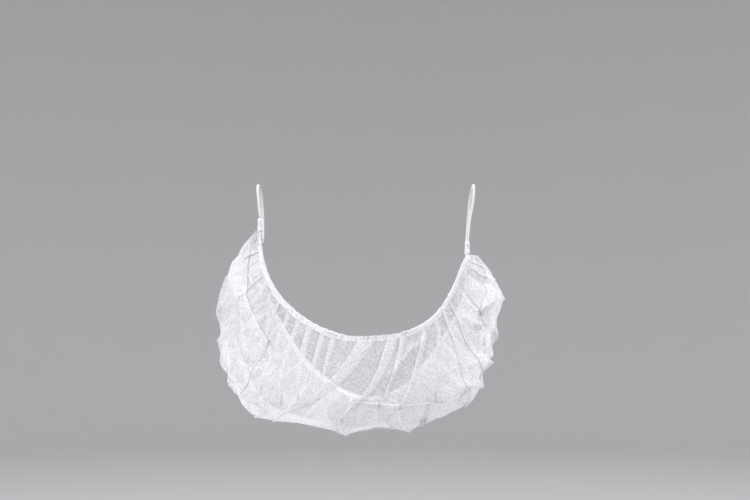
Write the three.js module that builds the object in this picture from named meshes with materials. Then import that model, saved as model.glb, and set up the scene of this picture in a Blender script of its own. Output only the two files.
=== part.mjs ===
// Disposable beard net: a gathered pouch of thin nonwoven cloth between a face edge and a neck edge, each
// drawn in by an elastic hem. The two hems meet in a bunched end beside each ear, and a round elastic
// loop goes from each bunched end round the ear. Lengths are in millimetres, +Z is up, the wearer faces
// -Y and the origin lies midway between the tops of the two ear loops.
import * as THREE from 'three';

// Reach of the worn net. Depths run forward, towards -Y, and drops run down from the bunched ends.
const endSpacing = 150;       // between the two bunched ends
const loopRise = 40;          // mean height of the ear loops above the bunched ends
const faceReach = 98;         // how far the face edge comes forward of the ear loops
const faceDrop = 65.5;        // how far the face edge hangs below the bunched ends
const neckReach = 46;         // how far the neck edge comes forward
const neckDrop = 110;         // how far the neck edge hangs down
const pouchWidth = 206;       // between the two sides of the pouch at its widest
const pouchReach = 97;        // how far the middle of the pouch comes forward
const pouchDrop = 124;        // how far the bottom of the pouch hangs down

// Cloth, hems, bunched ends and loops
const clothWall = 1.1;        // the cloth with its crumples, far thicker than the bare web
const fullness = 0.12;        // how square the pouch's section is: 0 is a plain bow
const hemDiameter = 2.4;      // elastic thread rolled into the gathered edge
const endWidth = 3.6;         // bunched end across, along X
const endDepth = 8.4;         // bunched end from front to back
const endLength = 7.5;        // bunched end, from its foot to its crown
const endWaist = 0.8;         // share of the bunched end's size left at its binding
const loopDiameter = 2.0;     // two-ply elastic cord of the ear loops
const fitGap = 0.3;           // clearance between pieces that touch

// Gathers and folds
const faceGathers = 24;       // gathers along the face edge
const faceGatherDepth = 1.6;  // from the middle of the cloth to a gather's crest
const neckGathers = 20;       // gathers along the neck edge
const neckGatherDepth = 1.6;
const gatherFade = 0.26;      // share of the way across where a gather has mostly faded
const foldDepth = 5;          // of the deepest large fold

// Fineness of the facets
const clothColumns = 116;
const clothRows = 15;
const hemSteps = 76;
const hemSides = 8;
const loopSteps = 34;
const loopSides = 8;
const endSides = 10;

// Cross-sections of the pouch from the right ear to the left ear. Each edge is given by a share of half
// its width along X, of its reach forward and of its drop. The pouch column is the middle of the cloth.
const SECTION_COLUMNS = [
  'faceX', 'faceY', 'faceZ', 'neckX', 'neckY', 'neckZ', 'pouchX', 'pouchY', 'pouchZ',
];
const SECTIONS = [
  [-1.00, 0.11, -0.09, -1.00, 0.11, -0.05, -0.75, 0.08, -0.04],
  [-0.98, 0.17, 0.11, -0.99, 0.04, 0.08, -0.87, 0.11, 0.08],
  [-0.95, 0.27, 0.26, -0.97, -0.02, 0.24, -0.95, 0.13, 0.27],
  [-0.88, 0.43, 0.44, -0.91, -0.04, 0.40, -1.00, 0.16, 0.53],
  [-0.75, 0.61, 0.64, -0.77, 0.09, 0.58, -0.91, 0.35, 0.77],
  [-0.51, 0.82, 0.85, -0.53, 0.43, 0.80, -0.74, 0.62, 0.93],
  [-0.20, 0.97, 0.99, -0.20, 0.87, 0.96, -0.31, 0.91, 0.97],
  [0.11, 0.99, 1.00, 0.07, 1.00, 1.00, 0.08, 1.00, 0.98],
  [0.40, 0.91, 0.95, 0.33, 0.83, 0.95, 0.39, 0.91, 0.95],
  [0.64, 0.71, 0.80, 0.59, 0.39, 0.79, 0.71, 0.64, 0.87],
  [0.80, 0.49, 0.56, 0.80, 0.09, 0.58, 0.83, 0.35, 0.70],
  [0.90, 0.31, 0.32, 0.93, 0.00, 0.40, 0.92, 0.19, 0.40],
  [0.95, 0.20, 0.21, 0.97, 0.04, 0.24, 0.89, 0.12, 0.22],
  [0.97, 0.14, 0.17, 0.98, 0.15, 0.11, 0.77, 0.11, 0.10],
].map((row) => Object.fromEntries(SECTION_COLUMNS.map((name, i) => [name, row[i]])));

// Large folds. at and lean place the fold's line, in shares of the way from ear to ear, width is in the
// same shares, depth is a share of foldDepth, outwards where positive, and from and to are where the
// fold fades in and out, in shares of the way from the face edge to the neck edge.
const FOLD_COLUMNS = ['at', 'lean', 'width', 'depth', 'from', 'to'];
const FOLDS = [
  [0.13, 0.04, 0.018, -0.55, 0.05, 0.70],
  [0.20, -0.03, 0.016, 0.50, 0.10, 0.75],
  [0.26, 0.05, 0.015, -0.60, 0.05, 0.60],
  [0.33, 0.08, 0.018, 0.65, 0.15, 0.80],
  [0.41, -0.10, 0.016, -0.60, 0.05, 0.55],
  [0.47, 0.02, 0.018, 1.00, 0.28, 0.62],
  [0.51, -0.14, 0.016, 0.60, 0.05, 0.45],
  [0.57, -0.16, 0.017, -0.70, 0.05, 0.60],
  [0.63, -0.14, 0.018, 0.55, 0.05, 0.70],
  [0.71, -0.08, 0.015, -0.60, 0.10, 0.65],
  [0.78, 0.03, 0.016, 0.60, 0.10, 0.80],
  [0.85, -0.05, 0.014, -0.65, 0.15, 0.70],
].map((row) => Object.fromEntries(FOLD_COLUMNS.map((name, i) => [name, row[i]])));

// Centrelines of the ear loops, from the crown of the bunched end up before the ear, over its top,
// down behind it and forward below the lobe to the back of the bunched end
const RIGHT_EAR_LOOP = [
  [-74.8, -9.6, -24.4], [-75.3, -9.4, -20], [-76.2, -7.6, -12], [-77, -3.5, -4.2], [-77, 3.5, -1],
  [-76.4, 11, -3.6], [-75.4, 17, -11.5], [-74.8, 19.2, -23], [-74.5, 16.6, -35], [-74.5, 9, -42],
  [-74.7, 2, -38.6], [-74.8, -0.6, -32.6], [-74.8, -3.5, -29.8],
];
const LEFT_EAR_LOOP = [
  [73.4, -12.2, -41.7], [73.6, -11.8, -37], [74.9, -9.2, -26], [77.4, -5.6, -13], [78.4, -1.8, -3.6],
  [78.2, 4, -1], [77.2, 10.6, -5.2], [75.8, 14.4, -14], [74.8, 15.4, -27], [74, 12, -39],
  [73.4, 5.4, -45.2], [73.2, -1.2, -47], [73.2, -5.9, -46.8],
];

const netWhite = new THREE.MeshStandardMaterial({
  color: 0xf1f0f6, roughness: 0.85, metalness: 0, transparent: true, opacity: 0.75,
});
const hemWhite = new THREE.MeshStandardMaterial({ color: 0xf4f3f8, roughness: 0.8, metalness: 0 });
const cordWhite = new THREE.MeshStandardMaterial({ color: 0xf2f0ee, roughness: 0.7, metalness: 0 });

// A smooth curve through one edge of every section
function edgeCurve(name, width, reach, drop) {
  const points = SECTIONS.map((row) => new THREE.Vector3(
    row[`${name}X`] * width / 2,
    -row[`${name}Y`] * reach,
    -loopRise - row[`${name}Z`] * drop,
  ));
  return new THREE.CatmullRomCurve3(points, false, 'catmullrom', 0.5);
}

const faceEdge = edgeCurve('face', endSpacing, faceReach, faceDrop);
const neckEdge = edgeCurve('neck', endSpacing, neckReach, neckDrop);
const pouchMiddle = edgeCurve('pouch', pouchWidth, pouchReach, pouchDrop);

// Smooth cloth without gathers: a bow from the face edge through the pouch's middle to the neck edge.
// t goes from ear to ear and v from the face edge, 0, to the neck edge, 1.
function smoothCloth(t, v) {
  const face = faceEdge.getPoint(t);
  const neck = neckEdge.getPoint(t);
  const bow = pouchMiddle.getPoint(t).sub(face.clone().add(neck).multiplyScalar(0.5));
  const swell = (Math.sin(Math.PI * v) + fullness * Math.sin(3 * Math.PI * v)) / (1 - fullness);
  return face.lerp(neck, v).add(bow.multiplyScalar(swell));
}

// Unit normal of a surface given as a function of t and v, by small differences
function normalOf(surface, t, v) {
  const step = 1e-3;
  const before = Math.max(t - step, 0);
  const after = Math.min(t + step, 1);
  const along = surface(after, v).sub(surface(before, v));
  const across = surface(t, Math.min(v + step, 1)).sub(surface(t, Math.max(v - step, 0)));
  return along.cross(across).normalize();
}

// Height of the cloth over its smooth form: gathers that fade away from each hem, and the large folds
function foldHeight(t, v) {
  const calm = Math.sin(Math.PI * t) ** 0.6;
  const faceWave = faceGatherDepth * Math.cos(2 * Math.PI * faceGathers * (t - 0.03 * v));
  const neckWave = neckGatherDepth * Math.cos(2 * Math.PI * neckGathers * (t + 0.02 * v));
  let height = faceWave * Math.exp(-((v / gatherFade) ** 2));
  height += neckWave * Math.exp(-(((1 - v) / gatherFade) ** 2));
  for (const fold of FOLDS) {
    const off = (t - fold.at - fold.lean * v) / fold.width;
    const run = THREE.MathUtils.clamp((v - fold.from) / (fold.to - fold.from), 0, 1);
    height -= fold.depth * foldDepth * Math.sin(Math.PI * run) * Math.exp(-off * off);
  }
  return height * calm;
}

// The gathered cloth. s goes from the cloth's edge beside the face hem, 0, to the one beside the neck
// hem, 1, so that each hem has room.
function cloth(t, s) {
  const probe = 0.02;
  const room = hemDiameter / 2 + fitGap;
  const faceRoom = room * probe / smoothCloth(t, 0).distanceTo(smoothCloth(t, probe));
  const neckRoom = room * probe / smoothCloth(t, 1).distanceTo(smoothCloth(t, 1 - probe));
  const v = THREE.MathUtils.lerp(faceRoom, 1 - neckRoom, s);
  const height = foldHeight(t, v);
  return smoothCloth(t, v).add(normalOf(smoothCloth, t, v).multiplyScalar(height));
}

// Closed wall round a surface: both faces of a grid, and its four edges
function wallGeometry(surface, columns, rows, wall) {
  const positions = [];
  for (const side of [0.5, -0.5]) {
    for (let i = 0; i <= columns; i += 1) {
      for (let j = 0; j <= rows; j += 1) {
        const t = i / columns;
        const s = j / rows;
        const normal = normalOf(surface, t, s);
        positions.push(...surface(t, s).add(normal.multiplyScalar(side * wall)).toArray());
      }
    }
  }
  const layer = (columns + 1) * (rows + 1);
  const front = (i, j) => i * (rows + 1) + j;
  const back = (i, j) => layer + front(i, j);
  const index = [];
  const quad = (a, b, c, d) => index.push(a, b, c, a, c, d);
  for (let i = 0; i < columns; i += 1) {
    for (let j = 0; j < rows; j += 1) {
      quad(front(i, j), front(i + 1, j), front(i + 1, j + 1), front(i, j + 1));
      quad(back(i, j), back(i, j + 1), back(i + 1, j + 1), back(i + 1, j));
    }
    quad(front(i, 0), back(i, 0), back(i + 1, 0), front(i + 1, 0));
    quad(front(i, rows), front(i + 1, rows), back(i + 1, rows), back(i, rows));
  }
  for (let j = 0; j < rows; j += 1) {
    quad(front(0, j), front(0, j + 1), back(0, j + 1), back(0, j));
    quad(front(columns, j), back(columns, j), back(columns, j + 1), front(columns, j + 1));
  }
  const geometry = new THREE.BufferGeometry();
  geometry.setAttribute('position', new THREE.Float32BufferAttribute(positions, 3));
  geometry.setIndex(index);
  return geometry;
}

// Round tube along a curve
function tubeGeometry(path, diameter, sides, steps) {
  const section = new THREE.Shape();
  section.absarc(0, 0, diameter / 2, 0, 2 * Math.PI, false);
  return new THREE.ExtrudeGeometry(section, {
    extrudePath: path, steps, curveSegments: sides / 2, bevelEnabled: false,
  });
}

// Bunched end of the net: an upright barrel, drawn in at its binding, that stands on the ends of both hems
function bunchedEndGeometry() {
  const shoulder = 0.12 * endLength;
  const profile = [
    [0, 0], [0.42, 0], [0.5, shoulder], [0.5 * endWaist, 0.5 * endLength],
    [0.44, endLength - shoulder], [0.32, endLength], [0, endLength],
  ].map(([radius, height]) => new THREE.Vector2(radius, height));
  const geometry = new THREE.LatheGeometry(profile, endSides);
  geometry.rotateX(Math.PI / 2);
  geometry.scale(endWidth, endDepth, 1);
  return geometry;
}

// Height of the highest point of a hem's cut end
function hemTop(edge, t) {
  const lean = edge.getTangent(t).z;
  return edge.getPoint(t).z + hemDiameter / 2 * Math.sqrt(1 - lean * lean);
}

function bunchedEnd(name, t) {
  const mesh = new THREE.Mesh(bunchedEndGeometry(), hemWhite);
  mesh.name = name;
  mesh.position.copy(faceEdge.getPoint(t)).lerp(neckEdge.getPoint(t), 0.5);
  mesh.position.z = Math.max(hemTop(faceEdge, t), hemTop(neckEdge, t)) + fitGap;
  return mesh;
}

function earLoop(name, route) {
  const path = new THREE.CatmullRomCurve3(route.map((point) => new THREE.Vector3(...point)));
  const mesh = new THREE.Mesh(tubeGeometry(path, loopDiameter, loopSides, loopSteps), cordWhite);
  mesh.name = name;
  return mesh;
}

function hem(name, path) {
  const mesh = new THREE.Mesh(tubeGeometry(path, hemDiameter, hemSides, hemSteps), hemWhite);
  mesh.name = name;
  return mesh;
}

const pouch = new THREE.Mesh(wallGeometry(cloth, clothColumns, clothRows, clothWall), netWhite);
pouch.name = 'net_pouch';

const beardNet = new THREE.Group();
beardNet.add(
  pouch,
  hem('face_elastic', faceEdge),
  hem('neck_elastic', neckEdge),
  bunchedEnd('gathered_end_right', 0),
  bunchedEnd('gathered_end_left', 1),
  earLoop('ear_loop_right', RIGHT_EAR_LOOP),
  earLoop('ear_loop_left', LEFT_EAR_LOOP),
);

export default beardNet;
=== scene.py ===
"""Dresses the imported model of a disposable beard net: pleated see-through cloth, gathered hems, bunched
ends and twisted elastic cords, with a pale studio round them. Lengths are in metres, in the part's frame."""
import bpy
import numpy as np
from bpy.props import FloatProperty, FloatVectorProperty, IntProperty, PointerProperty
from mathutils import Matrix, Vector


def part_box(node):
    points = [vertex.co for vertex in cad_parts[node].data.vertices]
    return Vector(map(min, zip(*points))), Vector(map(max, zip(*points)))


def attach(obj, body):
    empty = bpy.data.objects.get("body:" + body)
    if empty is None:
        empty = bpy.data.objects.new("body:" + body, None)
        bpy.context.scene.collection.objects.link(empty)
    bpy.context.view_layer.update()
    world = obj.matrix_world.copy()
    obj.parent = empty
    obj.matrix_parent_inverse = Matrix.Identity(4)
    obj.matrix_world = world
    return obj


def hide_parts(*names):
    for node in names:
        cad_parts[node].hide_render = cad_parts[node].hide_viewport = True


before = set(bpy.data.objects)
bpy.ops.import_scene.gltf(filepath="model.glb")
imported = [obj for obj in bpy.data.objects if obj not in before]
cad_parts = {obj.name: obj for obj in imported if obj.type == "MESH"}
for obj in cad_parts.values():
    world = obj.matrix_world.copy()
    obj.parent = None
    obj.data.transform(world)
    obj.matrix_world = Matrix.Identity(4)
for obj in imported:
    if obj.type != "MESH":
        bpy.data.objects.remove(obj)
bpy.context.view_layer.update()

bl_info = {
    "name": "Disposable beard net",
    "version": (1, 0, 0),
    "blender": (4, 5, 0),
    "location": "3D View > Sidebar > Beard net",
    "description": "Makes the cloth, hems, bunched ends and ear cords of a disposable beard net",
    "category": "Object",
}

# Centrelines of the cloth, as the solid model has them. A row is one cross-section, from the right end to
# the left end: shares across, forward and down of the face edge, the neck edge and the pouch's middle.
LOOP_RISE = 0.040
FACE_REACH = (0.075, 0.098, 0.0655)
NECK_REACH = (0.075, 0.046, 0.110)
POUCH_REACH = (0.103, 0.097, 0.124)
FULLNESS = 0.12
SECTIONS = np.array([
    [-1.00, 0.11, -0.09, -1.00, 0.11, -0.05, -0.75, 0.08, -0.04],
    [-0.98, 0.17, 0.11, -0.99, 0.04, 0.08, -0.87, 0.11, 0.08],
    [-0.95, 0.27, 0.26, -0.97, -0.02, 0.24, -0.95, 0.13, 0.27],
    [-0.88, 0.43, 0.44, -0.91, -0.04, 0.40, -1.00, 0.16, 0.53],
    [-0.75, 0.61, 0.64, -0.77, 0.09, 0.58, -0.91, 0.35, 0.77],
    [-0.51, 0.82, 0.85, -0.53, 0.43, 0.80, -0.74, 0.62, 0.93],
    [-0.20, 0.97, 0.99, -0.20, 0.87, 0.96, -0.31, 0.91, 0.97],
    [0.11, 0.99, 1.00, 0.07, 1.00, 1.00, 0.08, 1.00, 0.98],
    [0.40, 0.91, 0.95, 0.33, 0.83, 0.95, 0.39, 0.91, 0.95],
    [0.64, 0.71, 0.80, 0.59, 0.39, 0.79, 0.71, 0.64, 0.87],
    [0.80, 0.49, 0.56, 0.80, 0.09, 0.58, 0.83, 0.35, 0.70],
    [0.90, 0.31, 0.32, 0.93, 0.00, 0.40, 0.92, 0.19, 0.40],
    [0.95, 0.20, 0.21, 0.97, 0.04, 0.24, 0.89, 0.12, 0.22],
    [0.97, 0.14, 0.17, 0.98, 0.15, 0.11, 0.77, 0.11, 0.10],
])

# Centrelines of the cords, from the crown of a bunched end up, back over the top, down, and forward to
# the back of the bunched end.
RIGHT_CORD = np.array([
    [-0.0748, -0.0096, -0.0244], [-0.0753, -0.0094, -0.0200], [-0.0762, -0.0076, -0.0120],
    [-0.0770, -0.0035, -0.0042], [-0.0770, 0.0035, -0.0010], [-0.0764, 0.0110, -0.0036],
    [-0.0754, 0.0170, -0.0115], [-0.0748, 0.0192, -0.0230], [-0.0745, 0.0166, -0.0350],
    [-0.0745, 0.0090, -0.0420], [-0.0747, 0.0020, -0.0386], [-0.0748, -0.0006, -0.0326],
    [-0.0748, -0.0035, -0.0298],
])
LEFT_CORD = np.array([
    [0.0734, -0.0122, -0.0417], [0.0736, -0.0118, -0.0370], [0.0749, -0.0092, -0.0260],
    [0.0774, -0.0056, -0.0130], [0.0784, -0.0018, -0.0036], [0.0782, 0.0040, -0.0010],
    [0.0772, 0.0106, -0.0052], [0.0758, 0.0144, -0.0140], [0.0748, 0.0154, -0.0270],
    [0.0740, 0.0120, -0.0390], [0.0734, 0.0054, -0.0452], [0.0732, -0.0012, -0.0470],
    [0.0732, -0.0059, -0.0468],
])

# Pleats that run down from the face hem. A row gives the share of the way from end to end at the hem and
# at the pleat's end, how far across the cloth it reaches, its fold in millimetres and its side.
FACE_PLEATS = np.array([
    [0.045, 0.060, 0.22, 3.5, 1], [0.080, 0.100, 0.24, 4.0, -1], [0.115, 0.145, 0.20, 3.5, 1],
    [0.150, 0.185, 0.34, 5.0, 1], [0.190, 0.222, 0.24, 3.5, -1], [0.225, 0.280, 0.30, 4.5, 1],
    [0.262, 0.320, 0.26, 4.0, 1], [0.298, 0.365, 0.38, 7.0, -1], [0.335, 0.395, 0.34, 6.5, 1],
    [0.364, 0.422, 0.36, 6.5, 1], [0.392, 0.438, 0.30, 7.0, 1], [0.422, 0.446, 0.24, 6.0, 1],
    [0.447, 0.457, 0.19, 6.0, 1], [0.482, 0.474, 0.12, 1.6, 1], [0.518, 0.411, 0.66, 15.0, 1],
    [0.577, 0.493, 0.48, 11.0, 1], [0.603, 0.535, 0.38, 7.0, 1], [0.634, 0.600, 0.16, 2.0, 1],
    [0.658, 0.565, 0.42, 10.0, 1], [0.694, 0.630, 0.34, 7.0, -1], [0.722, 0.665, 0.50, 8.5, 1],
    [0.752, 0.712, 0.38, 5.5, 1], [0.782, 0.755, 0.26, 4.5, -1], [0.812, 0.795, 0.30, 4.5, 1],
    [0.845, 0.850, 0.22, 3.5, -1], [0.880, 0.885, 0.26, 4.0, 1], [0.920, 0.925, 0.24, 3.5, 1],
])

# Pleats within the cloth. A row gives the share of the way from end to end and the share across at its
# start and at its end, its fold in millimetres and its side.
INNER_PLEATS = np.array([
    [0.474, 0.22, 0.492, 0.66, 7.0, 1], [0.548, 0.40, 0.572, 0.72, 6.0, 1],
    [0.342, 0.30, 0.312, 0.74, 6.0, 1], [0.622, 0.36, 0.612, 0.74, 7.0, -1],
    [0.244, 0.20, 0.262, 0.62, 4.5, 1], [0.775, 0.20, 0.745, 0.56, 4.5, 1],
    [0.408, 0.36, 0.378, 0.70, 5.0, 1], [0.690, 0.42, 0.680, 0.80, 5.0, 1],
    [0.205, 0.50, 0.235, 0.86, 4.5, 1], [0.820, 0.60, 0.790, 0.88, 5.0, 1],
])

# Long folds that run from end to end. A row gives the share across at the start and at the end, where the
# fold starts and ends on the way from end to end, its fold in millimetres and its side.
LONG_FOLDS = np.array([
    [0.22, 0.20, 0.04, 0.36, 10.0, 1], [0.36, 0.43, 0.50, 0.66, 5.0, 1],
    [0.24, 0.30, 0.74, 0.95, 6.0, 1], [0.72, 0.66, 0.15, 0.60, 7.0, 1],
    [0.70, 0.72, 0.64, 0.95, 5.0, 1],
])

# Sharp creases as broken lines of (share from end to end, share across), with height in millimetres and
# half width in millimetres.
CREASES = [
    (((0.790, 0.019), (0.792, 0.110), (0.820, 0.169)), 4.0, 11),
    (((0.820, 0.169), (0.860, 0.190), (0.890, 0.230)), 4.6, 12),
    (((0.835, 0.093), (0.833, 0.157), (0.863, 0.411)), 4.8, 13),
    (((0.755, 0.074), (0.768, 0.134), (0.748, 0.188), (0.730, 0.248)), 4.4, 10),
    (((0.768, 0.134), (0.740, 0.200), (0.700, 0.190)), 4.0, 10),
    (((0.833, 0.018), (0.867, 0.107), (0.880, 0.300)), -3.6, 12),
    (((0.680, 0.269), (0.705, 0.350), (0.716, 0.420)), 4.0, 11),
    (((0.740, 0.200), (0.780, 0.330), (0.863, 0.411)), -4.4, 12),
    (((0.800, 0.240), (0.770, 0.360), (0.786, 0.430)), 4.4, 11),
    (((0.730, 0.248), (0.790, 0.270), (0.830, 0.250)), 4.0, 9),
    (((0.730, 0.248), (0.680, 0.269), (0.640, 0.330)), 3.4, 10),
    (((0.478, 0.250), (0.498, 0.700)), 2.6, 9),
    (((0.562, 0.300), (0.592, 0.700)), 2.6, 9),
    (((0.648, 0.031), (0.603, 0.054), (0.557, 0.134)), 1.5, 5),
    (((0.288, 0.045), (0.350, 0.110), (0.382, 0.138)), -3.0, 9),
    (((0.275, 0.599), (0.330, 0.400), (0.397, 0.304)), 4.4, 15),
    (((0.108, 0.302), (0.223, 0.105), (0.327, 0.167)), 3.8, 12),
    (((0.363, 0.184), (0.372, 0.130), (0.390, 0.211)), 3.4, 9),
    (((0.200, 0.200), (0.260, 0.420), (0.330, 0.540)), -4.0, 14),
    (((0.140, 0.480), (0.215, 0.330), (0.300, 0.300)), 4.0, 13),
]

# Blunt corners of the pouch, and shallow hollows where the height is negative: share from end to end,
# share across, height and radius in millimetres.
CORNERS = np.array([
    [0.496, 0.70, 2.0, 26], [0.545, 0.70, -4.0, 20], [0.592, 0.70, 1.8, 24], [0.860, 0.46, 3.6, 28],
    [0.385, 0.60, 3.0, 26], [0.796, 0.54, -4.2, 38],
])

# Flutes that run out of both hems: the distance from one to the next in millimetres, how far they reach
# as a share of the way across the cloth, and their height in millimetres.
FLUTES = ((7.3, 0.07, 0.5), (4.9, 0.045, 0.45), (11.0, 0.11, 0.6))

# Length and width in millimetres of the cloth once its pleats are laid, for places of creases on it.
LAID_LENGTH, LAID_WIDTH = 440, 140

# Cells of the cloth's mesh from end to end and across, and pleats that run up from the neck hem.
CLOTH_CELLS = (640, 152)
NECK_PLEATS = 26

# Weight of the web that lies in one layer, in the mean.
MEAN_WEIGHT = 1.2

# Points along a hem for each gather, and round the hem.
GATHER_STEPS, HEM_SIDES = 7, 14

# Side of a bunched end: share of its height, and its radius as a share of the solid's half width.
END_PROFILE = np.array([
    [0.00, 0.75], [0.04, 1.00], [0.16, 1.12], [0.40, 0.94], [0.50, 0.78], [0.60, 0.88], [0.80, 1.00],
    [0.94, 0.76], [1.00, 0.30],
])

# Folds down a bunched end: how many go round it, and their depth as a share of its radius.
END_FOLDS = ((7, 0.07), (13, 0.10), (19, 0.06))

# How far a bunched end reaches down over the hems, and points up it and round it.
END_FOOT, END_STEPS, END_SIDES = 0.0012, 61, 96

# Thread round the waist of a bunched end: turns, radius, distance from the middle as a share of the
# solid's half width, and points along it and round it.
THREAD_TURNS, THREAD_RADIUS, THREAD_SHARE, THREAD_STEPS, THREAD_SIDES = 4, 0.00030, 0.86, 260, 8

# Plies of a cord: radius and distance from the centreline as shares of the cord's diameter, distance
# between points along it, and points round a ply.
PLY_RADIUS, PLY_PLACE, PLY_STEP, PLY_SIDES = 0.29, 0.24, 0.00035, 12

# The camera stands level and straight in front: its place, its lens and its frame in millimetres.
CAMERA_PLACE, CAMERA_LENS, CAMERA_FRAME = (0.0072, -1.35, -0.0475), 90, 36

# The studio: depth of its floor below the origin, radius of the level floor, radius of the bend up into
# the wall, and height of the wall over the floor.
FLOOR_DEPTH, FLOOR_RADIUS, BEND_RADIUS, WALL_HEIGHT = 0.42, 2.2, 1.2, 2.6

# Soft round lamps with place, width and power in watts, the point they are aimed at, and the sky's light.
LAMPS = (
    ("lamp_left", (-2.3, -1.25, 1.2), 0.7, 78),
    ("lamp_right", (1.6, -0.8, 1.9), 0.6, 69),
    ("lamp_above", (0.0, 1.2, 1.9), 1.4, 26),
)
LAMP_AIM = np.array([0, -0.04, -0.1])
SKY_COLOUR, SKY_STRENGTH = (0.98, 0.98, 1.0, 1), 0.42


class BeardNetSizes(bpy.types.PropertyGroup):
    """Sizes of the beard net's soft pieces."""

    cloth_length: FloatProperty(
        name="Cloth length", description="Flat length of the cloth, from end to end",
        default=0.533, min=0.46, max=0.62, unit="LENGTH")
    cloth_width: FloatProperty(
        name="Cloth width", description="Flat width of the cloth, from hem to hem",
        default=0.165, min=0.14, max=0.2, unit="LENGTH")
    pleat_lift: FloatProperty(
        name="Pleat lift", description="How far the layers of a pleat stand apart",
        default=0.0013, min=0.0005, max=0.004, unit="LENGTH")
    crumple: FloatProperty(
        name="Crumple", description="Height of the random creases", default=0.0085, min=0.0,
        max=0.02, unit="LENGTH")
    hem_height: FloatProperty(
        name="Hem height", description="Height of a gathered hem", default=0.0042, min=0.002,
        max=0.008, unit="LENGTH")
    hem_thickness: FloatProperty(
        name="Hem thickness", description="Thickness of a gathered hem", default=0.0019, min=0.001,
        max=0.004, unit="LENGTH")
    gather_pitch: FloatProperty(
        name="Gather pitch", description="Distance between two gathers of a hem", default=0.00128,
        min=0.0008, max=0.003, unit="LENGTH")
    end_height: FloatProperty(
        name="End height", description="Height of a bunched end", default=0.0100, min=0.006,
        max=0.016, unit="LENGTH")
    cord_diameter: FloatProperty(
        name="Cord diameter", description="Diameter of the twisted ear cords", default=0.0020,
        min=0.001, max=0.004, unit="LENGTH")
    cord_twist: FloatProperty(
        name="Cord twist", description="Length of one full turn of the cord's plies", default=0.0052,
        min=0.002, max=0.02, unit="LENGTH")
    coverage: FloatProperty(
        name="Coverage", description="Share of the light that one layer of the cloth holds back",
        default=0.34, min=0.2, max=0.9, subtype="FACTOR")
    seed: IntProperty(name="Seed", description="Start of the random creases", default=11, min=0)


class BeardNetColours(bpy.types.PropertyGroup):
    """Colours of the beard net and its studio."""

    cloth: FloatVectorProperty(
        name="Cloth", description="Colour of the nonwoven cloth", subtype="COLOR", size=3,
        default=(0.85, 0.835, 0.87), min=0, max=1)
    hem: FloatVectorProperty(
        name="Hem", description="Colour of the gathered hems", subtype="COLOR", size=3,
        default=(0.86, 0.85, 0.89), min=0, max=1)
    cord: FloatVectorProperty(
        name="Cord", description="Colour of the elastic cords", subtype="COLOR", size=3,
        default=(0.85, 0.84, 0.83), min=0, max=1)
    studio: FloatVectorProperty(
        name="Studio", description="Colour of the floor and its rising edge", subtype="COLOR",
        size=3, default=(0.42, 0.42, 0.43), min=0, max=1)


def sizes():
    """The sizes that the panel shows."""
    return bpy.context.scene.beard_net_sizes


def colours():
    """The colours that the panel shows."""
    return bpy.context.scene.beard_net_colours


def smooth_step(x):
    """0 below 0, 1 above 1, and 3x² - 2x³ between."""
    x = np.clip(x, 0, 1)
    return x * x * (3 - 2 * x)


def sum_of_step(x):
    """The area under smooth_step up to x: x³ - x⁴/2 from 0 to 1, and x - 1/2 beyond."""
    held = np.clip(x, 0, 1)
    return held**3 - held**4 / 2 + np.maximum(x - 1, 0)


def unit(vectors):
    """The same vectors, each divided by its own length."""
    return vectors / np.maximum(np.linalg.norm(vectors, axis=-1, keepdims=True), 1e-12)


def even_spline(points, share):
    """Catmull-Rom cubic through evenly spaced points, at a share from 0 to 1 of the way along."""
    last = len(points) - 1
    place = np.clip(share, 0, 1) * last
    span = np.minimum(place.astype(int), last - 1)
    f = (place - span)[..., None]
    padded = np.vstack([2 * points[0] - points[1], points, 2 * points[-1] - points[-2]])
    a, b, c, d = (padded[span + k] for k in range(4))
    cubic = (2 * a - 5 * b + 4 * c - d) * f**2 + (3 * b - a - 3 * c + d) * f**3
    return 0.5 * (2 * b + (c - a) * f + cubic)


def edge_line(first, reach):
    """Points of one edge: shares times half width, reach forward and drop below the bunched ends."""
    share = SECTIONS[:, first:first + 3]
    return share * (reach[0], -reach[1], -reach[2]) - (0, 0, LOOP_RISE)


FACE_LINE = edge_line(0, FACE_REACH)
NECK_LINE = edge_line(3, NECK_REACH)
POUCH_LINE = edge_line(6, POUCH_REACH)


def smooth_cloth(t, v):
    """The cloth without folds: straight from the face edge to the neck edge by share v, plus the bow of
    the pouch's middle over that line times sin(pi v) + fullness sin(3 pi v), scaled to 1 at the middle."""
    face, neck, middle = (even_spline(line, t) for line in (FACE_LINE, NECK_LINE, POUCH_LINE))
    swell = (np.sin(np.pi * v) + FULLNESS * np.sin(3 * np.pi * v)) / (1 - FULLNESS)
    v = v[..., None]
    return face * (1 - v) + neck * v + (middle - (face + neck) / 2) * swell[..., None]


def cloth_directions(t, v):
    """Unit vectors along and across the smooth cloth, and its outward normal, by small differences."""
    step = 1e-3
    along = smooth_cloth(np.minimum(t + step, 1), v) - smooth_cloth(np.maximum(t - step, 0), v)
    across = smooth_cloth(t, np.minimum(v + step, 1)) - smooth_cloth(t, np.maximum(v - step, 0))
    return unit(along), unit(across), unit(np.cross(across, along))


def running_length(points, axis):
    """Length along one axis of a grid of points, from its start to each point."""
    steps = np.linalg.norm(np.diff(points, axis=axis), axis=-1)
    start = np.zeros_like(np.take(steps, [0], axis=axis))
    return np.concatenate([start, np.cumsum(steps, axis=axis)], axis=axis)


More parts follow.
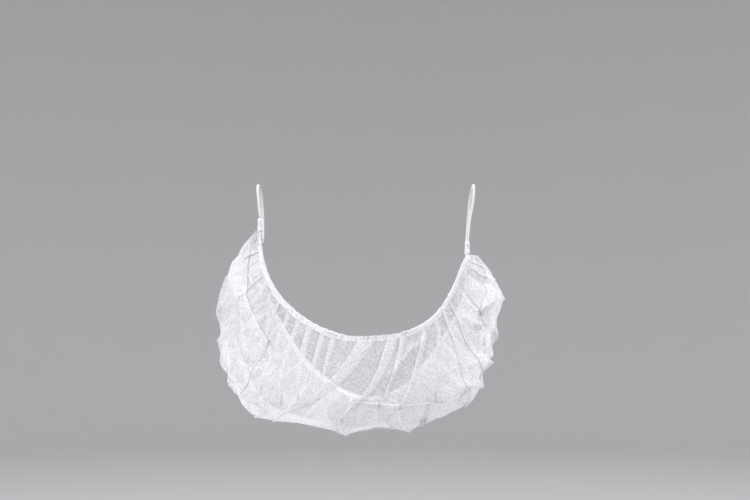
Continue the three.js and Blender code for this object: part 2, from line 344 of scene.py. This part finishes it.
def zigzag(place, total, flat, at, fold, gap):
    """Lays flat cloth on a line that is shorter than it is. At each fold the cloth turns back, runs back by
    the fold's length and turns again: its place on the line grows at a rate of 1, which falls smoothly to
    -1 between the two turns. The cloth climbs one gap at each turn, and then sinks back to the line
    beyond the fold. Arrays are (lines, places); at and fold are (lines, folds).
    Returns the places on the line, the height of each fold at each place, and how near each place is
    to a turn, from 0 to 1."""
    # Folds take up at most the cloth that is over, and those nearly gone keep a length above nothing
    spare = np.maximum(flat - 1.02 * total, 0.0)
    fold = fold * np.minimum(1, spare / np.maximum(2 * fold.sum(1), 1e-9))[:, None]
    size = np.maximum(fold, 1e-5)[:, None, :]
    shown = smooth_step(fold / 0.003)[:, None, :]

    # Middle of each fold on the flat cloth: its place on the line, and twice the folds passed before it,
    # where a fold counts as passed little by little over 10 mm
    ratio = (flat - 2 * fold.sum(1)) / total
    line_at = at * total[:, None]
    passed = smooth_step((line_at[:, :, None] - line_at[:, None, :]) / 0.010 + 0.5)
    middle = ratio[:, None] * line_at + (2 * fold[:, None, :] * passed).sum(2)

    # Distance from the middle in folds, and each turn as a smooth step of the width that the gap needs
    away = (place[:, :, None] - middle[:, None, :]) / size
    half_turn = np.clip(np.pi / 4 * gap / size, 0.08, 0.48)
    start = (away + 0.5) / (2 * half_turn) + 0.5
    end = (away - 0.5) / (2 * half_turn) + 0.5
    back = 2 * half_turn * size * (sum_of_step(start) - sum_of_step(end))
    run = place - 2 * back.sum(2)
    run = (run - run[:, :1]) / (run[:, -1:] - run[:, :1]) * total[:, None]

    # Between the turns the cloth lies on the line, before them a gap below it and after them a gap above
    first, second = smooth_step(start), smooth_step(end)
    settled = 1 - smooth_step((np.abs(away) - 0.7) / 1.1)
    height = (first + second - 1) * settled * half_turn * size * 4 / np.pi
    turning = 4 * (first * (1 - first) + second * (1 - second)) * shown
    return run, height, turning.sum(2)


def crumpled(x, y, rounds, reach, rng):
    """Height of a sheet that was folded at random and opened again. Each round folds the sheet over a
    line near its middle; the crease adds 1 - exp(-distance / reach), up or down. Later lines fall on
    cloth that is already folded, so their creases break where they meet the earlier ones. Also gives how
    near each point is to a crease, from 0 to 1: exp(-distance² / 0.9), with the distance in millimetres."""
    places = np.stack([x, y], -1)
    height, near = np.zeros_like(x), np.zeros_like(x)
    for _ in range(rounds):
        turn = rng.uniform(0, np.pi)
        normal = np.array([np.cos(turn), np.sin(turn)])
        side = places @ normal
        side = side - np.quantile(side, rng.uniform(0.35, 0.65))
        strength = rng.uniform(0.4, 1)
        height += rng.choice([-1, 1]) * strength * (1 - np.exp(-np.abs(side) / reach))
        near = np.maximum(near, strength * np.exp(-side**2 / 0.9))
        places = places - 2 * np.maximum(side, 0)[..., None] * normal
    return (height - height.mean()) / np.sqrt(rounds), near


def distance_to_line(x, y, line):
    """Distance from each point to a broken line, in the units of x and y."""
    nearest = np.full(x.shape, np.inf)
    for (ax, ay), (bx, by) in zip(line[:-1], line[1:]):
        dx, dy = bx - ax, by - ay
        share = np.clip(((x - ax) * dx + (y - ay) * dy) / (dx * dx + dy * dy), 0, 1)
        nearest = np.minimum(nearest, np.hypot(x - ax - share * dx, y - ay - share * dy))
    return nearest


def grid_map(along, across):
    """A map over a grid of points, from the places along its first way and its second way."""
    return np.stack(np.meshgrid(along, across, indexing="ij"), -1)


def add_grid(name, points, uv, wrap=False, capped=False, marks=None):
    """A mesh piece over a grid of points, with a UV map over the same grid. Its faces look along the
    grid's second way crossed with its first. With wrap, the second way closes on itself, and with capped
    the first and the last ring each get a flat end. marks are named values for each point."""
    rows, columns = points.shape[:2]
    number = np.arange(rows * columns).reshape(rows, columns)
    if wrap:
        number = np.concatenate([number, number[:, :1]], axis=1)
    faces = np.stack([number[:-1, :-1], number[:-1, 1:], number[1:, 1:], number[1:, :-1]], -1)
    spread = np.arange(uv.shape[0] * uv.shape[1]).reshape(uv.shape[:2])
    corners = np.stack([spread[:-1, :-1], spread[:-1, 1:], spread[1:, 1:], spread[1:, :-1]], -1)
    faces, corners = faces.reshape(-1, 4).tolist(), corners.ravel()
    if capped:
        faces += [number[0, -2::-1].tolist(), number[-1, :-1].tolist()]
        corners = np.concatenate([corners, spread[0, -2::-1], spread[-1, :-1]])
    mesh = bpy.data.meshes.new(name)
    mesh.from_pydata(points.reshape(-1, 3), [], faces)
    layer = mesh.uv_layers.new(name="cloth_map")
    layer.data.foreach_set("uv", uv.reshape(-1, 2)[corners].astype(np.float32).ravel())
    for key, values in (marks or {}).items():
        mark = mesh.attributes.new(key, "FLOAT", "POINT")
        mark.data.foreach_set("value", values.astype(np.float32).ravel())
    mesh.polygons.foreach_set("use_smooth", np.ones(len(mesh.polygons), bool))
    mesh.update()
    piece = bpy.data.objects.new(name, mesh)
    bpy.context.collection.objects.link(piece)
    return piece


def join(pieces, name):
    """Several pieces made one."""
    with bpy.context.temp_override(active_object=pieces[0], selected_editable_objects=pieces):
        bpy.ops.object.join()
    pieces[0].name = name
    pieces[0].data.name = name
    return pieces[0]


def carried(line):
    """Two directions square to a line at each of its points. They turn as little as can be from one point
    to the next: a starting direction is carried along, and what runs along the line is taken out."""
    tangent = unit(np.gradient(line, axis=0))
    first = np.cross(tangent[0], (0.3, 0.1, 1.0))
    sideways = np.empty_like(line)
    for i, along in enumerate(tangent):
        first = first - along * (first @ along)
        first = first / np.linalg.norm(first)
        sideways[i] = first
    return sideways, np.cross(tangent, sideways)


def tube(line, radius, sides):
    """Rings of points round a line: radius times the cosine and the sine of the angle, along the two
    directions that are carried along the line."""
    sideways, other = carried(line)
    angle = np.linspace(0, 2 * np.pi, sides, endpoint=False)
    ring = np.cos(angle)[:, None] * sideways[:, None] + np.sin(angle)[:, None] * other[:, None]
    return line[:, None] + radius * ring


def pleats_at(level, rng):
    """All pleats of the cloth in each of its rows, which lie at the shares across in level. A hem's pleat
    leans over as 1 - (1 - part)² on its way from the hem to its end and narrows as (1 - part) to the
    power of 0.8; one within the cloth runs straight and is widest halfway, as a half wave.
    Returns its share of the way from end to end and its fold in metres, as (rows, pleats), and its side."""
    spots = np.linspace(0.04, 0.96, NECK_PLEATS)
    neck_pleats = np.stack([
        spots + rng.uniform(-0.010, 0.010, NECK_PLEATS), spots + rng.uniform(-0.014, 0.014, NECK_PLEATS),
        rng.uniform(0.18, 0.35, NECK_PLEATS), rng.uniform(5.0, 8.8, NECK_PLEATS),
        rng.choice([-1, 1], NECK_PLEATS)], 1)
    share_at, folds = [], []
    for pleats, edge in ((FACE_PLEATS, level), (neck_pleats, 1 - level)):
        part = edge / pleats[:, 2]
        lean = 1 - (1 - np.clip(part, 0, 1)) ** 2
        share_at.append(pleats[:, 0] + (pleats[:, 1] - pleats[:, 0]) * lean)
        folds.append(pleats[:, 3] * np.clip(1 - part, 0, 1) ** 0.8)
    part = np.clip((level - INNER_PLEATS[:, 1]) / (INNER_PLEATS[:, 3] - INNER_PLEATS[:, 1]), 0, 1)
    share_at.append(INNER_PLEATS[:, 0] + (INNER_PLEATS[:, 2] - INNER_PLEATS[:, 0]) * part)
    folds.append(INNER_PLEATS[:, 4] * np.sin(np.pi * part))
    side = np.concatenate([FACE_PLEATS[:, 4], neck_pleats[:, 4], INNER_PLEATS[:, 5]])
    return np.concatenate(share_at, 1), np.concatenate(folds, 1) * 1e-3, side


def creases_at(t, v, flat_x, flat_y, rng):
    """Height of the placed creases, the corners and the random crumple at each point, and how near it is
    to a placed crease, exp(-distance² / 0.8), and to a random one. A placed crease falls off as
    (1 - distance / half width) to the power of 1.7, and a corner as a cone. All of it fades to nothing
    towards both hems and both ends, and the crumple is low at the front."""
    crumple = sizes().crumple
    rim = smooth_step(np.minimum(v, 1 - v) / 0.10) * smooth_step(np.minimum(t, 1 - t) / 0.06)
    x, y = t * LAID_LENGTH, v * LAID_WIDTH
    lift, turns = np.zeros_like(t), np.zeros_like(t)
    for line, height, half in CREASES:
        near = distance_to_line(x, y, [(a * LAID_LENGTH, b * LAID_WIDTH) for a, b in line])
        lift += height * 1e-3 * np.clip(1 - near / half, 0, 1) ** 1.7
        turns = np.maximum(turns, np.exp(-near**2 / 0.8))
    for corner_t, corner_v, height, radius in CORNERS:
        near = np.hypot(x - corner_t * LAID_LENGTH, y - corner_v * LAID_WIDTH)
        lift += height * 1e-3 * np.clip(1 - near / radius, 0, 1)

    # Random crumple, low at the front: wide waves of 9 folds and fine wrinkles of 12
    sides = 0.22 + 0.78 * smooth_step(np.abs(t - 0.52) / 0.26)
    height, near = crumpled(flat_x, flat_y, 9, 20.0, rng)
    lift += 0.45 * sides * crumple * height
    marks = 0.9 * sides * near
    height, near = crumpled(flat_x, flat_y, 12, 5.0, rng)
    lift += (0.02 + 0.30 * sides) * crumple * height
    return rim * lift, turns, marks + 0.6 * sides * near


def flutes_at(t, v, w, flat_x):
    """Height of the flutes beside the hems, sine waves that wander along the hem and fade as
    exp(-share across / reach), and of the bunching at both ends, eleven waves across the cloth."""
    lift = np.zeros_like(t)
    for edge, phase in ((v, 0.0), (1 - v, 2.0)):
        flutes = np.zeros_like(lift)
        for pitch, reach, height in FLUTES:
            wander = 1.3 * np.sin(flat_x / 31 + phase + pitch)
            flutes += height * np.sin(2 * np.pi * flat_x / pitch + wander) * np.exp(-edge / reach)
        lift += flutes * 1e-3 * smooth_step(edge / 0.02)
    bunch = np.exp(-np.minimum(t / 0.05, (1 - t) / 0.05))
    return lift + bunch * 0.0016 * np.sin(2 * np.pi * 11 * w + 3 * np.sin(9 * t))


def cloth_points(columns, rows):
    """The pleated cloth: flat places along and across go through the long folds and the pleats to places
    on the smooth cloth, and from there they are lifted along its normal by every fold and crease.
    Returns the points, the flat shares along and across, and how near each point is to a turn."""
    size = sizes()
    length, width = size.cloth_length, size.cloth_width
    rng = np.random.default_rng(size.seed)
    u, w = np.linspace(0, 1, columns + 1), np.linspace(0, 1, rows + 1)

    # Shares across at which the rows lie, and the length of the smooth cloth along each row
    fine_t, fine_v = np.linspace(0, 1, 801), np.linspace(0, 1, 241)
    middle = running_length(smooth_cloth(np.full_like(fine_v, 0.5), fine_v), 0)
    level = np.interp(w, middle / middle[-1], fine_v)[:, None]
    along = running_length(smooth_cloth(*np.meshgrid(fine_t, level[:, 0], indexing="ij")), 0)

    # Pleats, in rows of the cloth
    share_at, folds, side = pleats_at(level, rng)
    place = np.broadcast_to(u * length, (rows + 1, columns + 1))
    at = np.stack([np.interp(places, fine_t, reach / reach[-1])
                   for places, reach in zip(share_at, along.T)])
    run, height, turning = zigzag(place, along[-1], length, at, folds, size.pleat_lift)
    t = np.stack([np.interp(places, reach, fine_t) for places, reach in zip(run, along.T)]).T
    lift = (height * side).sum(2).T

    # Long folds, in columns of the cloth
    middle = along[:, rows // 2]
    base = np.interp(u, middle / middle[-1], fine_t)[:, None]
    across = running_length(smooth_cloth(*np.meshgrid(base[:, 0], fine_v, indexing="ij")), 1)
    part = np.clip((base - LONG_FOLDS[:, 2]) / (LONG_FOLDS[:, 3] - LONG_FOLDS[:, 2]), 0, 1)
    share_at = LONG_FOLDS[:, 0] + (LONG_FOLDS[:, 1] - LONG_FOLDS[:, 0]) * part
    folds = LONG_FOLDS[:, 4] * np.sin(np.pi * part) * 1e-3
    place = np.broadcast_to(w * width, (columns + 1, rows + 1))
    run, height, long_turning = zigzag(place, across[:, -1], width, share_at, folds, size.pleat_lift)
    v = np.stack([np.interp(places, reach, fine_v) for places, reach in zip(run, across)])
    lift += (height * LONG_FOLDS[:, 5]).sum(2)

    # Creases, crumple and flutes
    flat_x, flat_y = np.meshgrid(u * length * 1e3, w * width * 1e3, indexing="ij")
    creased, creases, marks = creases_at(t, v, flat_x, flat_y, rng)
    turns = np.maximum(turning.T + long_turning, creases) + marks
    lift += creased + flutes_at(t, v, w, flat_x)

    # Close to both hems everything is flatter
    lift *= 0.2 + 0.8 * smooth_step(np.minimum(v, 1 - v) / 0.05)
    return smooth_cloth(t, v) + cloth_directions(t, v)[2] * lift[..., None], u, w, turns


def cell_areas(points):
    """Area of each grid cell, as the length of the cross product of its two diagonals, halved."""
    one = points[1:, 1:] - points[:-1, :-1]
    two = points[1:, :-1] - points[:-1, 1:]
    return np.linalg.norm(np.cross(one, two), axis=-1) / 2


def to_corners(cells):
    """Values of cells brought to the grid's points, as the mean of the cells round each point."""
    padded = np.pad(cells, 1, mode="edge")
    return (padded[1:, 1:] + padded[:-1, 1:] + padded[1:, :-1] + padded[:-1, :-1]) / 4


def make_cloth():
    """The net's cloth as one open sheet. Its mark says how much flat cloth lies in each bit of surface,
    held between 0.6 and 2.6, times up to 2.3 at each turn. It makes the web denser where it is gathered
    more finely than the mesh can show."""
    size = sizes()
    columns, rows = CLOTH_CELLS
    points, u, w, turns = cloth_points(columns, rows)
    flat_cell = size.cloth_length * size.cloth_width / (columns * rows)
    gathering = to_corners(np.clip(flat_cell / np.maximum(cell_areas(points), 1e-9), 0.6, 2.6))
    gathering = gathering * (1 + 1.3 * np.clip(turns, 0, 1))
    uv = grid_map(u, w * size.cloth_width / size.cloth_length)
    cloth = add_grid("pouch_cloth", points, uv, marks={"gathering": gathering})
    cloth.data.materials.append(shared(nonwoven_web))
    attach(cloth, "root")
    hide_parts("net_pouch")
    return cloth


def make_hem(name, line, edge, node):
    """A hem: an upright flat ring of cloth along an edge, shaken by its gathers. A gather is a ridge of
    1 - |sin(pi turn)| to the power of 0.8, which is sharp outside and round inside, and it leans over on
    its way round the hem. A ridge makes the hem thicker, and taller up and down."""
    size = sizes()
    rng = np.random.default_rng(size.seed + len(name))
    fine = np.linspace(0, 1, 2001)
    reach = running_length(even_spline(line, fine), 0)
    count = int(round(reach[-1] / size.gather_pitch))
    place = np.linspace(0, 1, count * GATHER_STEPS + 1)
    t = np.interp(place * reach[-1], reach, fine)
    across, normal = cloth_directions(t, np.full_like(t, 0.998 if edge else 0.002))[1:]

    # Ridges of uneven size at uneven distances, and two slow waves along the hem
    shaken = rng.uniform(-0.28, 0.28, count + 2)
    strength = rng.uniform(0.55, 1.25, count + 2)
    turn = place * count
    turn = turn + np.interp(turn, np.arange(count + 2), shaken)
    strength = np.interp(turn, np.arange(count + 2), strength)[:, None]
    angle = np.linspace(0, 2 * np.pi, HEM_SIDES, endpoint=False)
    lean = 0.35 * np.sin(angle) + 0.2 * np.cos(2 * angle)
    ridge = (1 - np.abs(np.sin(np.pi * (turn[:, None] + lean)))) ** 0.8 * strength
    slow = (0.12 * np.sin(place * 61) + 0.10 * np.sin(place * 143 + 1))[:, None]

    # Cross-section: how far it goes down over the cloth, up over the edge, and out to both sides
    thick = size.hem_thickness * (0.36 + 0.74 * ridge) * (1 + slow)
    tall = size.hem_height * (0.66 + 0.34 * np.sin(np.pi * place))[:, None]
    low = tall * (0.78 + 0.10 * ridge + slow * 0.5)
    high = tall * (0.08 + 0.22 * ridge)
    down = np.where(np.cos(angle) < 0, low, high) * -np.cos(angle)
    out = thick * np.sin(angle) * (0.62 + 0.38 * np.cos(angle))
    inward = (-across if edge else across)[:, None]
    points = even_spline(line, t)[:, None] + inward * down[..., None] + normal[:, None] * out[..., None]
    uv = grid_map(place, np.linspace(0, 1, HEM_SIDES + 1) * 0.03)
    hem = add_grid(name, points, uv, wrap=True, capped=True)
    if edge:
        hem.data.flip_normals()
    hem.data.materials.append(shared(gathered_web))
    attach(hem, "root")
    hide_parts(node)
    return hem


def make_end(name, node):
    """A bunched end: an upright barrel with folds down its sides, drawn in by a thread. Its radius is its
    profile times 0.86 plus, for each kind of fold, the fold's depth times |sin(number angle / 2)|."""
    size = sizes()
    rng = np.random.default_rng(size.seed + 7)
    low, high = (np.array(corner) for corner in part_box(node))
    middle, half = (low + high) / 2, (high - low) / 2
    foot, height = low[2] - END_FOOT, size.end_height
    rise = np.linspace(0, 1, END_STEPS)
    angle = np.linspace(0, 2 * np.pi, END_SIDES, endpoint=False)
    folds = np.zeros((END_STEPS, END_SIDES))
    for number, share in END_FOLDS:
        phase = rng.uniform(0, 6.28) + 1.2 * np.sin(3 * rise + number)
        folds += share * np.abs(np.sin(number * angle / 2 + phase[:, None]))
    radius = np.interp(rise, *END_PROFILE.T)[:, None] * (0.86 + folds)
    x = middle[0] + half[0] * radius * np.cos(angle)
    y = middle[1] + half[1] * radius * np.sin(angle)
    z = np.broadcast_to((foot + height * rise)[:, None], x.shape)
    uv = grid_map(rise * 0.019, np.linspace(0, 0.04, END_SIDES + 1))
    body = add_grid(name, np.stack([x, y, z], -1), uv, wrap=True, capped=True)

    # The thread climbs from 0.44 to 0.56 of the end's height
    turn = np.linspace(0, 2 * np.pi * THREAD_TURNS, THREAD_STEPS)
    climb = foot + height * (0.44 + 0.12 * turn / turn[-1])
    line = np.stack([middle[0] + half[0] * THREAD_SHARE * np.cos(turn),
                     middle[1] + half[1] * THREAD_SHARE * np.sin(turn), climb], -1)
    uv = grid_map(np.linspace(0, 0.14, THREAD_STEPS), np.linspace(0, 0.004, THREAD_SIDES + 1))
    rings = tube(line, THREAD_RADIUS, THREAD_SIDES)
    thread = add_grid(name + "_thread", rings, uv, wrap=True, capped=True)
    end = join([body, thread], name)
    end.data.materials.clear()
    end.data.materials.append(shared(gathered_web))
    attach(end, "root")
    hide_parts(node)
    return end


def make_cord(name, route, node):
    """An ear cord: two round plies, half a turn apart. A ply's own centre stands off the cord's centreline
    along the cosine and the sine of its turn, which grows evenly along the cord."""
    size = sizes()
    line = even_spline(route, np.linspace(0, 1, 1201))
    reach = running_length(line, 0)
    steps = int(reach[-1] / PLY_STEP)
    places = np.linspace(0, reach[-1], steps)
    even = np.stack([np.interp(places, reach, line[:, k]) for k in range(3)], 1)
    sideways, other = carried(even)
    turn = np.linspace(0, 2 * np.pi * reach[-1] / size.cord_twist, steps)[:, None]
    uv = grid_map(np.linspace(0, 1, steps), np.linspace(0, 1, PLY_SIDES + 1) * 0.04)
    plies = []
    for k in range(2):
        spin = turn + np.pi * k
        out = np.cos(spin) * sideways + np.sin(spin) * other
        rings = tube(even + size.cord_diameter * PLY_PLACE * out, size.cord_diameter * PLY_RADIUS, PLY_SIDES)
        plies.append(add_grid(f"{name}_{k}", rings, uv, wrap=True, capped=True))
    cord = join(plies, name)
    cord.data.materials.clear()
    cord.data.materials.append(shared(covered_elastic))
    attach(cord, "root")
    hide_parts(node)
    return cord


def make_floor():
    """The studio's floor: a disc that turns up through a quarter circle into a wall, spun round."""
    bend = np.linspace(0, np.pi / 2, 24)
    level = np.linspace(0.00001, FLOOR_RADIUS, 12)
    edge = FLOOR_RADIUS + BEND_RADIUS
    radius = np.concatenate([level, FLOOR_RADIUS + BEND_RADIUS * np.sin(bend[1:]), [edge]])
    rise = np.concatenate([0 * level, BEND_RADIUS - BEND_RADIUS * np.cos(bend[1:]), [WALL_HEIGHT]])
    angle = np.linspace(0, 2 * np.pi, 96, endpoint=False)
    x, y = radius[:, None] * np.cos(angle), radius[:, None] * np.sin(angle)
    points = np.stack([x, y, np.broadcast_to((rise - FLOOR_DEPTH)[:, None], x.shape)], -1)
    uv = grid_map(np.linspace(0, 1, len(rise)), np.linspace(0, 1, len(angle) + 1))
    floor = add_grid("studio_floor", points, uv, wrap=True)
    floor.data.materials.append(shared(studio_paint))
    return floor


class Signal:
    """A node's output that can be reckoned with as a number can: each operator adds a Math node."""

    def __init__(self, finish, socket):
        self.finish = finish
        self.socket = socket

    def math(self, operation, *values):
        """A Math node of an operation on these values, which are numbers or signals."""
        return self.finish.add("ShaderNodeMath", {"operation": operation}, dict(enumerate(values)))

    def held(self):
        """The value kept between 0 and 1."""
        return self.finish.add("ShaderNodeClamp", {}, {"Value": self})

    def __add__(self, other):
        return self.math("ADD", self, other)

    def __sub__(self, other):
        return self.math("SUBTRACT", self, other)

    def __rsub__(self, other):
        return self.math("SUBTRACT", other, self)

    def __mul__(self, other):
        return self.math("MULTIPLY", self, other)

    def __pow__(self, other):
        return self.math("POWER", self, other)

    def __rpow__(self, other):
        return self.math("POWER", other, self)

    def __abs__(self):
        return self.math("ABSOLUTE", self)

    __radd__ = __add__
    __rmul__ = __mul__


class Finish:
    """A new material and its nodes."""

    def __init__(self, name):
        self.material = bpy.data.materials.new(name)
        self.material.use_nodes = True
        self.tree = self.material.node_tree
        self.tree.nodes.clear()

    def add(self, kind, settings, sockets, output=0):
        """Adds a node of a kind, with its settings first and then its sockets' values or links."""
        node = self.tree.nodes.new(kind)
        for key, value in settings.items():
            setattr(node, key, value)
        for key, value in sockets.items():
            if isinstance(value, Signal):
                self.tree.links.new(value.socket, node.inputs[key])
            else:
                node.inputs[key].default_value = value
        return Signal(self, node.outputs[output]) if node.outputs else None

    def place(self, turn, stretch):
        """The cloth's own map, turned and stretched."""
        at = self.add("ShaderNodeUVMap", {"uv_map": "cloth_map"}, {})
        return self.add("ShaderNodeMapping", {"vector_type": "TEXTURE"}, {
            "Vector": at, "Rotation": (0, 0, turn), "Scale": [1 / part for part in stretch]})

    def noise(self, turn, stretch, detail=2.0, rough=0.5):
        """Noise from 0 to 1 on the cloth's own map."""
        return self.add("ShaderNodeTexNoise", {}, {
            "Vector": self.place(turn, stretch), "Scale": 1.0, "Detail": detail, "Roughness": rough})

    def fibres(self, turn, fine, long):
        """Thin wandering lines along one direction: noise drawn out one way, brightest at its middle
        value."""
        strands = self.noise(turn, (long, fine, 1), detail=0.0)
        return (1 - abs(strands - 0.5) * 10.0).held()

    def bump(self, height, distance):
        """The normal of a surface that a height from 0 to 1 lifts by a distance in metres."""
        return self.add("ShaderNodeBump", {}, {"Height": height, "Distance": distance, "Strength": 1.0})

    def show(self, shader):
        """Puts a shader on the surface, which finishes the material."""
        self.add("ShaderNodeOutputMaterial", {}, {"Surface": shader})
        return self.material


def shared(make):
    """The material that a function makes, under the function's own name. It is made only once."""
    return bpy.data.materials.get(make.__name__) or make(Finish(make.__name__))


def see_through(web, colour, seen, normal, rough, shine, passed):
    """Cloth that is clear by 1 - seen. The rest is matt fibre, of which a share passes light on."""
    colour = (*colour, 1)
    face = web.add("ShaderNodeBsdfPrincipled", {}, {
        "Base Color": colour, "Roughness": rough, "Specular IOR Level": shine,
        "Sheen Weight": 0.15, "Sheen Roughness": 0.5, "Normal": normal})
    glow = web.add("ShaderNodeBsdfTranslucent", {}, {"Color": colour, "Normal": normal})
    lit = web.add("ShaderNodeMixShader", {}, {0: passed, 1: face, 2: glow})
    clear = web.add("ShaderNodeBsdfTransparent", {}, {})
    return web.show(web.add("ShaderNodeMixShader", {}, {0: seen.held(), 1: clear, 2: lit}))


def nonwoven_web(web):
    """Thin spunbond web: fibres in three directions over soft clouds of more and less fibre. One layer
    lets 1 - coverage of the light by, and several let by that to the power of their number. Gathered
    cloth counts as more layers, in which clouds and fibres even out, by the power of 0.4."""
    clouds = web.noise(0.4, (330, 330, 1), detail=2.0, rough=0.65)
    patches = web.noise(1.1, (70, 70, 1), detail=0.0)
    strands = web.fibres(0.5, 520, 90) + web.fibres(1.7, 560, 80) + web.fibres(2.6, 480, 90)
    weight = 0.20 + 1.38 * (3.4 * clouds - 1.22).held() + 0.30 * patches + 0.25 * strands
    gathering = web.add("ShaderNodeAttribute", {"attribute_name": "gathering"}, {}, output=2)
    layers = MEAN_WEIGHT * gathering + (weight - MEAN_WEIGHT) * gathering ** 0.4
    seen = 1 - (1 - sizes().coverage) ** layers
    wrinkles = web.noise(0.9, (34, 150, 1), detail=1.0)
    normal = web.bump(wrinkles + 0.4 * clouds, 0.0009)
    return see_through(web, colours().cloth, seen, normal, rough=0.62, shine=0.35, passed=0.42)


def gathered_web(web):
    """The same web in many layers: nearly solid, with soft clouds in it that also roughen it."""
    clouds = web.noise(0.2, (420, 420, 1), detail=2.0, rough=0.6)
    normal = web.bump(clouds, 0.0003)
    return see_through(web, colours().hem, 0.70 + 0.65 * clouds, normal, rough=0.65, shine=0.3, passed=0.2)


def covered_elastic(yarn):
    """Textured yarn round elastic: fine threads wound at a slant, with painted shade that makes it a little
    darker between them, in the grooves of its bump.
    """
    colour = colours().cord
    threads = yarn.noise(0.5, (260, 900, 1), detail=2.0)
    fuzz = yarn.noise(1.2, (900, 700, 1), detail=3.0)
    # Painted shade: the colour falls to 0.78 of the cord's own colour where the threads are low, in the
    # grooves of the bump
    shade = yarn.add("ShaderNodeMix", {"data_type": "RGBA"}, {
        0: threads, 6: (*(0.78 * part for part in colour), 1), 7: (*colour, 1)}, output=2)
    normal = yarn.bump(threads + fuzz * 0.5, 0.0003)
    return yarn.show(yarn.add("ShaderNodeBsdfPrincipled", {}, {
        "Base Color": shade, "Roughness": 0.7, "Specular IOR Level": 0.3,
        "Sheen Weight": 0.3, "Sheen Roughness": 0.5, "Normal": normal}))


def studio_paint(paint):
    """Matt paint of the studio, with the faintest unevenness."""
    at = paint.add("ShaderNodeTexCoord", {}, {}, output="Object")
    cloud = paint.add("ShaderNodeTexNoise", {}, {"Vector": at, "Scale": 1.3, "Detail": 2.0})
    low, high = (tuple(part * share for part in colours().studio) for share in (0.985, 1.015))
    shade = paint.add("ShaderNodeMix", {"data_type": "RGBA"}, {
        0: cloud, 6: (*low, 1), 7: (*high, 1)}, output=2)
    return paint.show(paint.add("ShaderNodeBsdfPrincipled", {}, {
        "Base Color": shade, "Roughness": 0.9, "Specular IOR Level": 0.1}))


class BEARDNET_OT_camera(bpy.types.Operator):
    """Adds the camera at the height of the cords, level and straight in front"""

    bl_idname = "beard_net.camera"
    bl_label = "Camera"

    def execute(self, context):
        camera = bpy.data.cameras.new("camera")
        camera.lens, camera.sensor_width = CAMERA_LENS, CAMERA_FRAME
        holder = bpy.data.objects.new("camera", camera)
        holder.location = CAMERA_PLACE
        holder.rotation_euler = (np.pi / 2, 0, 0)
        context.collection.objects.link(holder)
        context.scene.camera = holder
        return {"FINISHED"}


class BEARDNET_OT_cords(bpy.types.Operator):
    """Makes the two twisted ear cords"""

    bl_idname = "beard_net.cords"
    bl_label = "Ear cords"

    def execute(self, context):
        make_cord("ear_cord_right", RIGHT_CORD, "ear_loop_right")
        make_cord("ear_cord_left", LEFT_CORD, "ear_loop_left")
        return {"FINISHED"}


class BEARDNET_OT_hems(bpy.types.Operator):
    """Makes the gathered hems of the face edge and the neck edge"""

    bl_idname = "beard_net.hems"
    bl_label = "Hems"

    def execute(self, context):
        make_hem("face_hem", FACE_LINE, 0, "face_elastic")
        make_hem("neck_hem", NECK_LINE, 1, "neck_elastic")
        return {"FINISHED"}


class BEARDNET_OT_ends(bpy.types.Operator):
    """Makes the two bunched and bound ends of the net"""

    bl_idname = "beard_net.ends"
    bl_label = "Bunched ends"

    def execute(self, context):
        make_end("bunched_end_right", "gathered_end_right")
        make_end("bunched_end_left", "gathered_end_left")
        return {"FINISHED"}


class BEARDNET_OT_cloth(bpy.types.Operator):
    """Makes the pleated cloth of the pouch"""

    bl_idname = "beard_net.cloth"
    bl_label = "Cloth"

    def execute(self, context):
        make_cloth()
        return {"FINISHED"}


class BEARDNET_OT_stage(bpy.types.Operator):
    """Makes the pale studio: a floor that rises into a round wall, three soft lamps and a soft sky"""

    bl_idname = "beard_net.stage"
    bl_label = "Stage"

    def execute(self, context):
        make_floor()
        for name, place, width, power in LAMPS:
            lamp = bpy.data.lights.new(name, "AREA")
            lamp.shape, lamp.size, lamp.energy = "DISK", width, power
            holder = bpy.data.objects.new(name, lamp)
            back = unit(np.array(place) - LAMP_AIM)
            holder.location = place
            tilt, turn = np.arccos(back[2]), np.arctan2(back[1], back[0]) + np.pi / 2
            holder.rotation_euler = (tilt, 0, turn)
            context.collection.objects.link(holder)
        world = bpy.data.worlds.new("studio_light")
        world.use_nodes = True
        sky = world.node_tree.nodes["Background"].inputs
        sky["Color"].default_value = SKY_COLOUR
        sky["Strength"].default_value = SKY_STRENGTH
        context.scene.world = world
        context.scene.view_settings.view_transform = "Standard"
        context.scene.cycles.transparent_max_bounces = 32
        return {"FINISHED"}


class BEARDNET_PT_pieces(bpy.types.Panel):
    """Lists the steps that make the beard net and its studio"""

    bl_label = "Beard net"
    bl_idname = "BEARDNET_PT_pieces"
    bl_space_type = "VIEW_3D"
    bl_region_type = "UI"
    bl_category = "Beard net"

    def draw(self, context):
        for step in STEPS:
            self.layout.operator(step.bl_idname)
        for group in (context.scene.beard_net_sizes, context.scene.beard_net_colours):
            for name in group.__annotations__:
                self.layout.prop(group, name)


STEPS = (BEARDNET_OT_camera, BEARDNET_OT_cords, BEARDNET_OT_hems, BEARDNET_OT_ends,
         BEARDNET_OT_cloth, BEARDNET_OT_stage)
CLASSES = (BeardNetSizes, BeardNetColours, *STEPS, BEARDNET_PT_pieces)


def register():
    """Registers the classes, and gives the scene its sizes and colours."""
    for each in CLASSES:
        bpy.utils.register_class(each)
    bpy.types.Scene.beard_net_sizes = PointerProperty(type=BeardNetSizes)
    bpy.types.Scene.beard_net_colours = PointerProperty(type=BeardNetColours)


def unregister():
    """Takes back what register did."""
    del bpy.types.Scene.beard_net_colours
    del bpy.types.Scene.beard_net_sizes
    for each in reversed(CLASSES):
        bpy.utils.unregister_class(each)


def main():
    register()
    bpy.ops.beard_net.camera()
    bpy.ops.beard_net.cords()
    bpy.ops.beard_net.hems()
    bpy.ops.beard_net.ends()
    bpy.ops.beard_net.cloth()
    bpy.ops.beard_net.stage()


if __name__ == "__main__":
    main()
